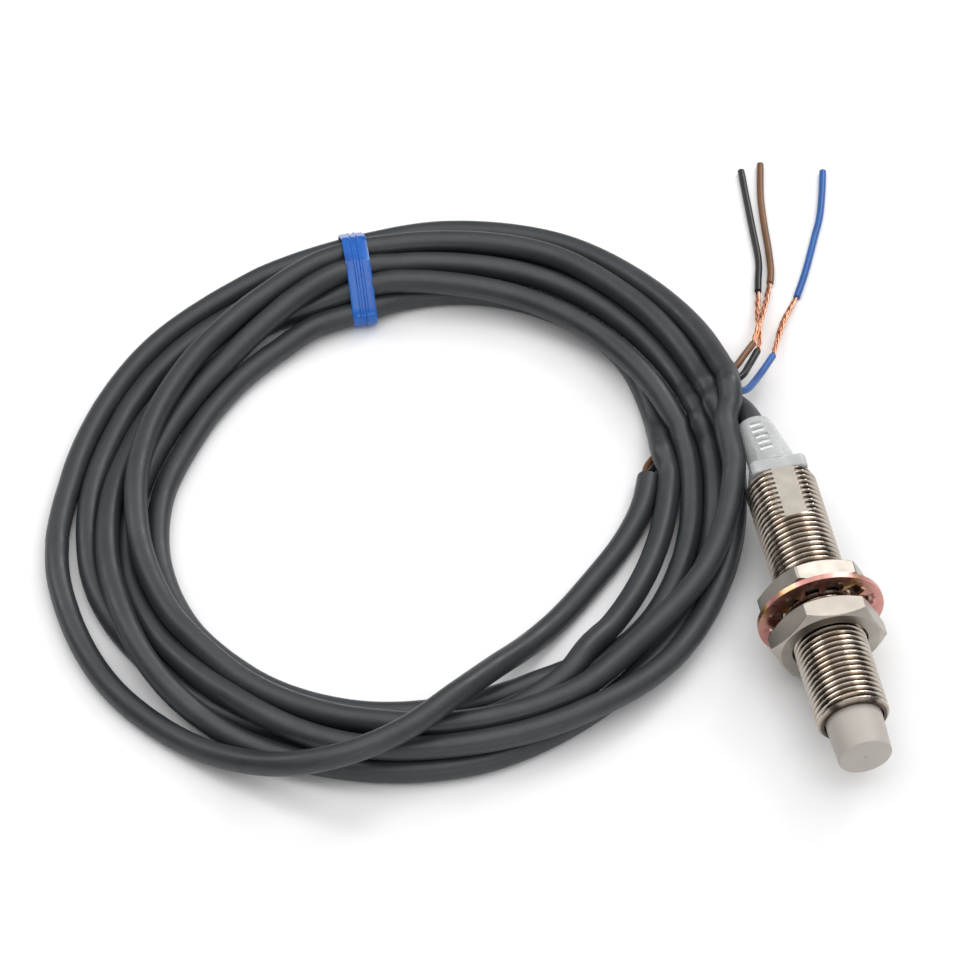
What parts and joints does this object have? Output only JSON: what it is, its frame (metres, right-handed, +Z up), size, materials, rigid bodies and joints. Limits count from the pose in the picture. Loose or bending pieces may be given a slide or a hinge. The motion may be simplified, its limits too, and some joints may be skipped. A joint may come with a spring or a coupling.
{
  "type": "proximity sensor",
  "caption": "Threaded cylindrical inductive proximity sensor with protruding sensing cap, clamping nuts, toothed washer and a coiled, tied three-wire lead.",
  "frame": {"origin": "on the floor, under the middle of the sensor without its lead", "axes": "+Y along the sensor's axis from the sensing face to the cable clamp, +Z up, +X to the right when looking along +Y; the coil lies on the -X side"},
  "size_m": [0.1488, 0.1319, 0.021],
  "materials": {
    "nickel": "nickel plated, satin",
    "chromate": "zinc plated, iridescent yellow chromate",
    "cap_plastic": "moulded, fine matte",
    "ferrite": "sintered, matte",
    "bobbin_plastic": "moulded",
    "enamelled_copper": "enamelled copper wire",
    "board_laminate": "glass-epoxy laminate",
    "chip_plastic": "moulded epoxy",
    "chip_ceramic": "fired ceramic",
    "diode_glass": "glass body",
    "led_plastic": "tinted resin",
    "clamp_plastic": "milky translucent resin",
    "jacket": "oil-resistant vinyl, fine matte",
    "tie_vinyl": "vinyl",
    "bare_copper": "bare stranded copper",
    "insulation_brown": "vinyl",
    "insulation_black": "vinyl",
    "insulation_blue": "vinyl"
  },
  "bodies": {
    "sensor": {"barrel": "nickel", "sensing_cap": "cap_plastic", "ferrite_core": "ferrite", "coil_bobbin": "bobbin_plastic", "coil_winding": "enamelled_copper", "coil_lead_1": "enamelled_copper", "coil_lead_2": "enamelled_copper", "circuit_board": "board_laminate", "oscillator_ic": "chip_plastic", "output_transistor": "chip_plastic", "tuning_capacitor": "chip_ceramic", "supply_capacitor": "chip_ceramic", "resistor_1": "chip_plastic", "resistor_2": "chip_plastic", "resistor_3": "chip_plastic", "surge_diode": "diode_glass", "indicator_led": "led_plastic", "cable_clamp": "clamp_plastic", "inner_wire_brown": "insulation_brown", "inner_wire_blue": "insulation_blue", "inner_wire_black": "insulation_black", "cable_lead": "jacket", "cable_coil": "jacket", "cable_tail": "jacket", "tie_band": "tie_vinyl", "tie_tail": "tie_vinyl", "wire_brown": "insulation_brown", "slug_brown": "insulation_brown", "strands_brown": "bare_copper", "wire_black": "insulation_black", "slug_black": "insulation_black", "strands_black": "bare_copper", "wire_blue": "insulation_blue", "slug_blue": "insulation_blue", "strands_blue": "bare_copper"},
    "front_nut": {"front_nut": "nickel"},
    "washer": {"toothed_washer": "chromate"},
    "rear_nut": {"rear_nut": "nickel"}
  },
  "joints": [
    {"name": "front_nut_travel", "type": "slide", "parent": "sensor", "child": "front_nut", "axis": [0, 1, 0], "range_m": [-0.0134, 0.0008]},
    {"name": "washer_travel", "type": "slide", "parent": "sensor", "child": "washer", "axis": [0, 1, 0], "range_m": [-0.0008, 0.012]},
    {"name": "rear_nut_screw", "type": "hinge", "parent": "washer", "child": "rear_nut", "pos_m": [0, -0.00275, 0.0105], "axis": [0, 1, 0], "range_deg": [-285, 4315]}
  ],
  "couplings": [
    {"joint": "washer_travel", "follows": "rear_nut_screw", "m_per_rad": 0.00015915}
  ]
}
